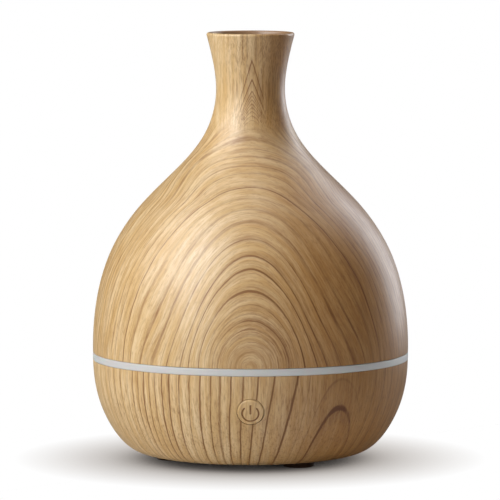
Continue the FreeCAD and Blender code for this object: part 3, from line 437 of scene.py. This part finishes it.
finish.update(
    frosted_ring=moulded("frosted_ring", (0.56, 0.555, 0.545), 0.5, 4.0, 0.02, 0.3, 0.94,
                         Subsurface_Weight=0.25, Subsurface_Scale=0.003),
    white_plastic=moulded("white_plastic", (0.86, 0.86, 0.84), 0.42, 2.5, 0.03, 0.3, 0.93),
    tank_plastic=moulded("tank_plastic", (0.80, 0.83, 0.84), 0.24, 1.2, 0.02, 0.4, 0.9,
                         Subsurface_Weight=0.5, Subsurface_Scale=0.004, Coat_Weight=0.2),
    brown_plastic=moulded("brown_plastic", (0.13, 0.066, 0.032), 0.62, 5.0, 0.08, 0.6, 0.7),
    brown_rubber=moulded("brown_rubber", (0.075, 0.032, 0.013), 0.8, 4.0, 0.06, 0.7, 0.6),
    silicone=moulded("silicone", (0.75, 0.76, 0.77), 0.38, 2.0, 0.02, 0.4, 0.85,
                     Subsurface_Weight=0.4, Subsurface_Scale=0.002),
    black_plastic=moulded("black_plastic", (0.022, 0.022, 0.025), 0.45, 6.0, 0.03, 0.8, 0.6),
    foam=moulded("foam", (0.04, 0.04, 0.045), 0.95, 2.2, 0.3, 0.8, 0.5),
    connector_white=moulded("connector_white", (0.80, 0.78, 0.70), 0.4, 3.0, 0.02, 0.5, 0.88),
    lead_jacket=moulded("lead_jacket", (0.055, 0.055, 0.06), 0.36, 3.5, 0.03, 0.7, 0.7, Coat_Weight=0.15),
)


# %% [markdown]
# ## Metals
# Screws, the clamp ring, the heat sink and the inlet's pin are metal. Turned and drawn metal
# has fine marks one way, which show in the roughness more than in the colour.

# %% One function for metals
def metal(name, colour, rough, fineness=1.0, deeper=0.7):
    """A machined or plated metal: tool marks in colour, gloss and a trace of relief."""
    material, tree, shader, (x, y, z) = new_material(name)
    marks = use(BRUSHING, tree, Vector=vector(x, y, z), Fineness=fineness)[0]
    dim = tuple(c * deeper for c in colour)
    feed(tree, shader.inputs["Base Color"], blend(fade(marks, 0.3, 0.7), dim, colour))
    feed(tree, shader.inputs["Roughness"], fade(marks, 0.25, 0.75, rough * 1.3, rough * 0.8))
    set_shader(shader, Metallic=1.0)
    emboss(tree, shader, marks, 0.25, 0.02)
    return material


finish.update(
    screw_steel=metal("screw_steel", (0.64, 0.65, 0.67), 0.3, 2.0),
    clamp_steel=metal("clamp_steel", (0.62, 0.62, 0.61), 0.36, 1.0),
    heat_sink_metal=metal("heat_sink_metal", (0.74, 0.75, 0.77), 0.38, 0.8),
    contact_metal=metal("contact_metal", (0.80, 0.79, 0.74), 0.18, 2.5, 0.85),
)


# %% [markdown]
# ## The electronics
# These show only through the inlet, or when the base is taken apart, but each has its own look:
# green boards with a maze of traces under the solder mask, drum inductors wound with copper,
# capacitors in a printed sleeve with a bare metal top, lamps with a yellow phosphor window and
# a piezo disc with a bright mesh in its middle. Masks come from where a point is: how high
# above the board, or how far from an axis.

# %% Circuit boards
BOARD_TOP = 10.6


def circuit(name, mask_colour, trace_colour):
    """Solder mask over copper: a brick pattern's joints in two directions are the traces."""
    material, tree, shader, (x, y, z) = new_material(name)
    traces = []
    for first, second in ((x, y), (y, x)):
        bricks = put(tree, "ShaderNodeTexBrick", {"Vector": vector(first, second, z), "Scale": 0.28,
                     "Mortar Size": 0.045, "Brick Width": 2.2, "Row Height": 0.62, "Color1": (0, 0, 0),
                     "Color2": (0, 0, 0), "Mortar": (1, 1, 1)})
        traces.append(Value(tree, bricks.outputs["Fac"]))
    copper = traces[0].do("MAXIMUM", traces[1]) * 0.75
    cloud = noise(vector(x, y, z), 0.2, 2.0)
    pads = put(tree, "ShaderNodeTexVoronoi", {"Vector": vector(x, y, 0.0), "Scale": 0.35})
    pad = fade(Value(tree, pads.outputs["Distance"]), 0.12, 0.16, 1.0, 0.0)
    colour = blend(copper + (cloud - 0.5) * 0.2, mask_colour, trace_colour)
    feed(tree, shader.inputs["Base Color"], blend(pad, colour, (0.62, 0.60, 0.55)))
    feed(tree, shader.inputs["Metallic"], pad * 0.9)
    feed(tree, shader.inputs["Roughness"], fade(cloud, 0.2, 0.8, 0.22, 0.34))
    emboss(tree, shader, copper, 0.5, 0.05)
    return material


# %% Small components
def inductor():
    """Dull ferrite flanges, and bright copper turns between them."""
    material, tree, shader, (x, y, z) = new_material("ferrite_and_copper")
    wound = fade((z - (BOARD_TOP + 4.1)).size(), 2.55, 2.7, 1.0, 0.0)
    turns = (z * (2.0 * math.pi / 0.42)).do("SINE")
    cloud = noise(vector(x, y, z), 2.0, 3.0)
    copper = blend(fade(turns, -1.0, 1.0), (0.30, 0.09, 0.03), (0.80, 0.32, 0.13))
    ferrite = blend(fade(cloud, 0.3, 0.7), (0.035, 0.035, 0.037), (0.10, 0.10, 0.10))
    feed(tree, shader.inputs["Base Color"], blend(wound, ferrite, copper))
    feed(tree, shader.inputs["Metallic"], wound * 0.8)
    feed(tree, shader.inputs["Roughness"], fade(wound, 0.0, 1.0, 0.75, 0.28))
    emboss(tree, shader, turns * wound, 0.6, 0.12)
    return material


def capacitor():
    """A dark sleeve with a pale stripe down its side, and a bare metal top."""
    material, tree, shader, (x, y, z) = new_material("capacitor_sleeve")
    bare = fade(z, BOARD_TOP + 8.72, BOARD_TOP + 8.8)
    stripe = fade((x * 0.5 + y * 0.866).do("PINGPONG", 4.2), 3.3, 3.5)
    cloud = noise(vector(x, y, z), 0.8, 2.0)
    sleeve = blend(stripe, (0.016, 0.02, 0.05), (0.45, 0.47, 0.52))
    feed(tree, shader.inputs["Base Color"], blend(bare, sleeve, (0.78, 0.78, 0.79)))
    feed(tree, shader.inputs["Metallic"], bare)
    feed(tree, shader.inputs["Roughness"], fade(cloud, 0.2, 0.8, 0.25, 0.4))
    emboss(tree, shader, cloud, 0.2, 0.03)
    return material


def lamp():
    """A white frame round a phosphor window, told apart by how far the point is from the axis."""
    material, tree, shader, (x, y, z) = new_material("lamp_phosphor")
    radius = (x * x + y * y).do("SQRT")
    window = fade((radius - 68.0).size(), 1.1, 1.2, 1.0, 0.0) * fade(z, 42.85, 42.95, 1.0, 0.0)
    grains = noise(vector(x, y, z), 9.0, 2.0)
    phosphor = blend(grains, (0.72, 0.50, 0.04), (0.92, 0.78, 0.16))
    feed(tree, shader.inputs["Base Color"], blend(window, (0.84, 0.84, 0.81), phosphor))
    feed(tree, shader.inputs["Roughness"], fade(grains, 0.2, 0.8, 0.3, 0.5))
    emboss(tree, shader, grains, 0.2, 0.03)
    return material


def piezo_disc():
    """A pale ceramic ring with a bright metal middle, where the mist leaves through tiny holes."""
    material, tree, shader, (x, y, z) = new_material("atomiser_face")
    radius = (x * x + y * y).do("SQRT")
    middle = fade(radius, 4.6, 4.8, 1.0, 0.0)
    holes = put(tree, "ShaderNodeTexVoronoi", {"Vector": vector(x, y, 0.0), "Scale": 3.0, "Randomness": 0.2})
    dots = fade(Value(tree, holes.outputs["Distance"]), 0.12, 0.2, 1.0, 0.0) * middle
    cloud = noise(vector(x, y, z), 1.5, 3.0)
    face = blend(fade(cloud, 0.3, 0.7), (0.62, 0.59, 0.52), (0.74, 0.72, 0.66))
    steel = blend(dots, (0.66, 0.66, 0.67), (0.12, 0.12, 0.13))
    feed(tree, shader.inputs["Base Color"], blend(middle, face, steel))
    feed(tree, shader.inputs["Metallic"], middle)
    feed(tree, shader.inputs["Roughness"], fade(cloud, 0.2, 0.8, 0.22, 0.4))
    emboss(tree, shader, dots * -1.0 + 1.0, 0.3, 0.03)
    return material


finish.update(circuit_green=circuit("circuit_green", (0.012, 0.10, 0.04), (0.03, 0.24, 0.09)),
              circuit_white=circuit("circuit_white", (0.78, 0.78, 0.76), (0.70, 0.71, 0.69)),
              ferrite=inductor(), capacitor_can=capacitor(), lamp=lamp(), disc_metal=piezo_disc())
print("finishes:", len(bpy.data.materials))


# %% [markdown]
# ## Giving the finishes out
# The record says which material slot each node belongs to, and the finishes above carry the
# slots' names, so one loop dresses the whole frame. Only the wood print needs a choice: the
# cover and the base are cut from different parts of the plank.

# %% Dress every CAD node
def dress(piece, material):
    """Puts one material on a piece."""
    piece.data.materials.clear()
    piece.data.materials.append(material)


for name, node in nodes.items():
    if slot_of[name] == "wood_print":
        dress(node, finish["wood_cover" if name == "cover_shell" else "wood_base"])
    else:
        dress(node, finish[slot_of[name]])
print("dressed", len(nodes), "nodes")


# %% [markdown]
# ## Surfaces from numpy grids
# Both new pieces are a closed outline carried round an axis. The outline is a list of corners,
# each with its own rounding, and the surface is a grid: one direction runs along the outline,
# the other round the axis. The whole grid is worked out at once as an array.

# %% Outline and grid helpers
def rounded(corners, steps=6):
    """The corners of an outline, each replaced by an arc of its own radius: the arc leaves the
    two sides at radius * tan(half the turn) from the corner."""
    points = np.array([c[:2] for c in corners], float)
    found = []
    for number, (_, _, radius) in enumerate(corners):
        here = points[number]
        back = points[number - 1] - here
        forth = points[(number + 1) % len(points)] - here
        back, forth = back / np.linalg.norm(back), forth / np.linalg.norm(forth)
        if radius == 0.0:
            found.append(here[None])
            continue
        half = math.acos(np.clip(back @ forth, -1, 1)) / 2
        centre = here + (back + forth) / np.linalg.norm(back + forth) * radius / math.sin(half)
        start = here + back * radius / math.tan(half) - centre
        end = here + forth * radius / math.tan(half) - centre
        t = np.linspace(0.0, 1.0, steps)[:, None]
        arc = start * (1 - t) + end * t
        found.append(centre + arc / np.linalg.norm(arc, axis=1)[:, None] * radius)
    return np.concatenate(found)


def grid_object(name, points, wrap_first, pressed=None):
    """A mesh from an array of points (rows, columns, 3) in metres. Columns always close on
    themselves, rows do so if wrap_first is set. Doubled points, as at a pole, are merged.
    An array of numbers per point can be kept as the attribute "pressed"."""
    rows, columns = points.shape[:2]
    number = np.arange(rows * columns).reshape(rows, columns)
    after = np.roll(number, -1, axis=0) if wrap_first else number[1:]
    before = number if wrap_first else number[:-1]
    faces = np.stack([before, np.roll(before, -1, axis=1), np.roll(after, -1, axis=1), after], axis=-1)
    mesh = bpy.data.meshes.new(name)
    mesh.from_pydata(points.reshape(-1, 3).tolist(), [], faces.reshape(-1, 4).tolist())
    if pressed is not None:
        mesh.attributes.new("pressed", "FLOAT", "POINT").data.foreach_set("value", pressed.ravel())
    work = bmesh.new()
    work.from_mesh(mesh)
    bmesh.ops.remove_doubles(work, verts=work.verts, dist=1e-7)
    bmesh.ops.recalc_face_normals(work, faces=work.faces)
    work.to_mesh(mesh)
    work.free()
    mesh.shade_smooth()
    piece = bpy.data.objects.new(name, mesh)
    bpy.context.scene.collection.objects.link(piece)
    print(f"{name}: {len(mesh.polygons)} faces")
    return piece


# %% [markdown]
# ## The light ring
# A frosted band lies between the cover and the base. In the hand it has soft edges that catch
# a line of light, which a sharp CAD corner never does, so the ring is turned again from the
# same outline with its edges rounded. Its spigot faces the lamps below.

# %% Turn the light ring
RING_CORNERS = ((72.5, 47.7, 0.1), (75.0, 47.7, 0.45), (75.0, 51.1, 0.45), (71.8, 51.1, 0.1), (71.8, 49.1, 0.1),
                (66.0, 49.1, 0.2), (66.0, 47.0, 0.2), (69.5, 47.0, 0.3), (69.5, 44.7, 0.3), (72.5, 44.7, 0.3))
outline = rounded(RING_CORNERS) * MM
turn = np.linspace(0, 2 * np.pi, 288, endpoint=False)
spun = np.stack([outline[:, None, 0] * np.sin(turn), -outline[:, None, 0] * np.cos(turn),
                 np.broadcast_to(outline[:, None, 1], (len(outline), len(turn)))], axis=-1)
ring = grid_object("frosted_light_ring", spun, wrap_first=True)
dress(ring, finish["frosted_ring"])
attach(ring, "base")
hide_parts("light_ring")

# %% [markdown]
# ## The power button
# The round cap is slightly domed and has the generic standby sign pressed into it: a ring that
# is open at the top, and a bar from its centre upwards. A boolean would leave sharp walls, but
# a pressed sign has soft ones. So the cap is a fine grid of rings and spokes whose height is
# the dome minus the sign, and the sign is a soft step of the distance to its centre line.

# %% Press the power button
CAP_R, CROWN, RIM = 6.2, 0.65, 0.8
SIGN_Y, SIGN_R, STROKE, PRESSED, OPEN = -0.5, 3.8, 0.8, 0.34, math.radians(50.0)


def sign_depth(x, y):
    """How deep the sign is pressed in, in mm. The distance to its centre line is the least of
    the distance to the open circle and the distance to the bar; the wall is a soft step."""
    v = y - SIGN_Y
    radius, angle = np.hypot(x, v), np.abs(np.arctan2(x, v))
    tip = SIGN_R * np.array([math.sin(OPEN), math.cos(OPEN)])
    to_tip = np.hypot(np.abs(x) - tip[0], v - tip[1])
    to_ring = np.where(angle > OPEN, np.abs(radius - SIGN_R), to_tip)
    to_bar = np.hypot(x, v - np.clip(v, 0.0, SIGN_R))
    near = np.clip((STROKE / 2 + 0.12 - np.minimum(to_ring, to_bar)) / 0.3, 0.0, 1.0)
    return PRESSED * near * near * (3 - 2 * near)


spokes = np.linspace(0, 2 * np.pi, 256, endpoint=False)
flat_r = np.linspace(0.0, CAP_R - RIM, 96)
bend = np.linspace(0.0, np.pi / 2, 8)[1:]
edge_z = 0.25 - RIM
side = [(CAP_R, -3.0), (CAP_R, -3.95), (6.95, -4.0), (7.0, -4.1), (7.0, -4.9), (6.9, -5.0), (2.05, -5.0),
        (2.0, -5.05), (2.0, -5.35), (1.95, -5.4), (0.0, -5.4)]
profile_r = np.concatenate([flat_r, CAP_R - RIM + RIM * np.sin(bend), [p[0] for p in side]])
dome = CROWN - (CROWN - 0.25) * (flat_r / (CAP_R - RIM)) ** 2
profile_z = np.concatenate([dome, edge_z + RIM * np.cos(bend), [p[1] for p in side]])
local_x, local_y = profile_r[:, None] * np.sin(spokes), profile_r[:, None] * np.cos(spokes)
on_top = (np.arange(len(profile_r)) < len(flat_r))[:, None]
sign = np.where(on_top, sign_depth(local_x, local_y), 0.0)
local_z = profile_z[:, None] - sign
press = Vector(next(j["axis"] for j in frame["joints"] if j["name"] == "button_press")).normalized()
outward, upward = -np.array(press), np.array([0.0, -press.z, press.y])
on_skin = np.array([0.0, -72.74, 30.9])
cap_points = on_skin + local_x[..., None] * [1, 0, 0] + local_y[..., None] * upward + local_z[..., None] * outward
button = grid_object("power_button_cap", cap_points * MM, wrap_first=False, pressed=sign / PRESSED)
dress(button, finish["wood_button"])
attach(button, "button")
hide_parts("power_button")

# %% [markdown]
# ## Floor, light and camera
# The portrait has a white floor that fades to pure white, a large soft light high on the left
# that draws a broad pale sheen on the bulb, a dimmer right side, and a tall strip behind on the
# right that outlines the edge. To the camera the floor shows only how much of the sky each
# point sees, which leaves an even soft shadow round the foot, and to the object it is white.
# It is clear from below, and a dim light under it lets the underside be looked at.

# %% White floor and surroundings
floor_mesh = bpy.data.meshes.new("floor")
reach = 40.0
floor_mesh.from_pydata([(-reach, -reach, 0), (reach, -reach, 0), (reach, reach, 0), (-reach, reach, 0)], [],
                       [(0, 1, 2, 3)])
floor = bpy.data.objects.new("floor", floor_mesh)
bpy.context.scene.collection.objects.link(floor)
material, tree, shader, (x, y, z) = new_material("floor_white")
seen = Value(tree, put(tree, "ShaderNodeLightPath").outputs["Is Camera Ray"])
open_sky = Value(tree, put(tree, "ShaderNodeAmbientOcclusion", {"Distance": 0.048}, samples=24).outputs["AO"])
mirrored = Value(tree, put(tree, "ShaderNodeLightPath").outputs["Is Glossy Ray"])
paper = blend(noise(vector(x, y, z), 0.02), (0.80, 0.80, 0.80), (0.82, 0.82, 0.82))
feed(tree, shader.inputs["Base Color"], blend(seen + mirrored * 0.8, paper, (0.0, 0.0, 0.0)))
feed(tree, shader.inputs["Emission Color"], blend(open_sky, (1.0, 0.90, 0.82), (1.0, 1.0, 1.0)))
feed(tree, shader.inputs["Emission Strength"], seen * open_sky.do("POWER", 0.8))
below = Value(tree, put(tree, "ShaderNodeNewGeometry").outputs["Backfacing"])
shadow = Value(tree, put(tree, "ShaderNodeLightPath").outputs["Is Shadow Ray"])
feed(tree, shader.inputs["Alpha"], below.do("MAXIMUM", shadow) * -1.0 + 1.0)
set_shader(shader, Roughness=1.0, Specular_IOR_Level=0.0)
floor_mesh.materials.append(material)

world = bpy.data.worlds.new("studio")
bpy.context.scene.world = world
world.use_nodes = True
sky = world.node_tree.nodes["Background"]
seen = Value(world.node_tree, put(world.node_tree, "ShaderNodeLightPath").outputs["Is Camera Ray"])
feed(world.node_tree, sky.inputs["Strength"], fade(seen, 0.0, 1.0, 0.10, 1.0))
sky.inputs["Color"].default_value = (1, 1, 1, 1)


# %% Soft boxes
MIDDLE = Vector((0.0, 0.0, 0.11))


def soft_box(name, azimuth, elevation, away, wide, tall, watts, tint=(1, 1, 1)):
    """A rectangular area light aimed at the object. Azimuth is from the front towards +X."""
    a, e = math.radians(azimuth), math.radians(elevation)
    data = bpy.data.lights.new(name, "AREA")
    data.shape, data.size, data.size_y = "RECTANGLE", wide, tall
    data.energy, data.color = watts, tint
    box = bpy.data.objects.new(name, data)
    back = Vector((math.sin(a) * math.cos(e), -math.cos(a) * math.cos(e), math.sin(e)))
    box.location = MIDDLE + back * away
    box.rotation_euler = back.to_track_quat("Z", "Y").to_euler()
    box.visible_camera = False
    bpy.context.scene.collection.objects.link(box)


soft_box("key_left", -72, 40, 1.5, 1.2, 1.2, 16)
soft_box("sheen_left", -44, 30, 1.5, 0.38, 1.3, 10)
soft_box("front_fill", 4, 12, 2.2, 0.8, 0.8, 1.6)
soft_box("rim_right", 138, 12, 1.1, 0.42, 1.2, 6.5, (0.94, 0.96, 1.0))
soft_box("shoulder_right", 116, 50, 1.3, 0.45, 0.5, 1.4)
soft_box("overhead", 0, 80, 1.6, 1.2, 1.2, 4)
soft_box("underneath", 0, -75, 1.4, 1.0, 1.0, 2)

# %% Camera
camera_data = bpy.data.cameras.new("camera")
camera_data.sensor_width, camera_data.lens = 36.0, 342.16
camera = bpy.data.objects.new("camera", camera_data)
camera.location = (-0.00024, -2.250, 0.3045)
aim = Vector((-0.00024, 0.0, 0.0995)) - camera.location
camera.rotation_euler = aim.to_track_quat("-Z", "Y").to_euler()
bpy.context.scene.collection.objects.link(camera)
bpy.context.scene.camera = camera
bpy.context.scene.view_settings.view_transform = "Standard"
